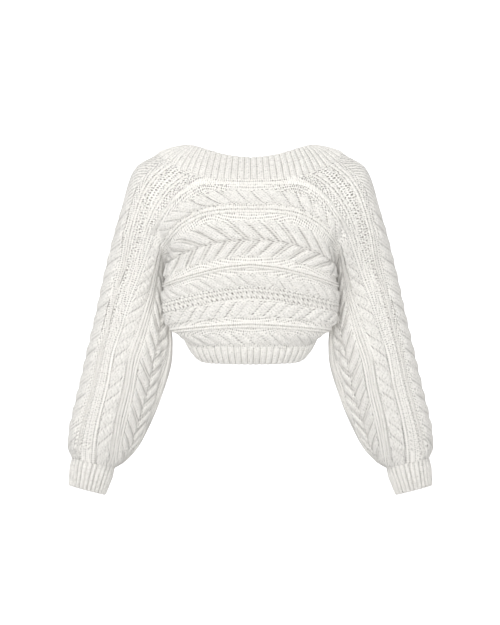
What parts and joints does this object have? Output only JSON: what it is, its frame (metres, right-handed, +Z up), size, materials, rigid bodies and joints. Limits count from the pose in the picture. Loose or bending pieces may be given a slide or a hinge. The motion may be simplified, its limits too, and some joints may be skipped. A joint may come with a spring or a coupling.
{
  "type": "cable knit bolero",
  "caption": "Cropped open-front bolero in cable knit, with full gathered sleeves, ribbed cuffs and one ribbed band all round its opening.",
  "frame": {"origin": "on the middle plane, between and level with the tops of the neck rib, where the shoulders carry the garment", "axes": "+X is the wearer's right, +Y the wearer's front, +Z up; the back faces -Y"},
  "size_m": [0.6724, 0.2224, 0.6495],
  "materials": {
    "yarn": "off-white knitted yarn, matt"
  },
  "bodies": {
    "root": {"back": "yarn", "sleeve_right": "yarn", "sleeve_left": "yarn", "collar_band": "yarn", "front_band_right": "yarn", "front_band_left": "yarn", "hem_band": "yarn", "cuff_right": "yarn", "cuff_left": "yarn"}
  },
  "joints": []
}
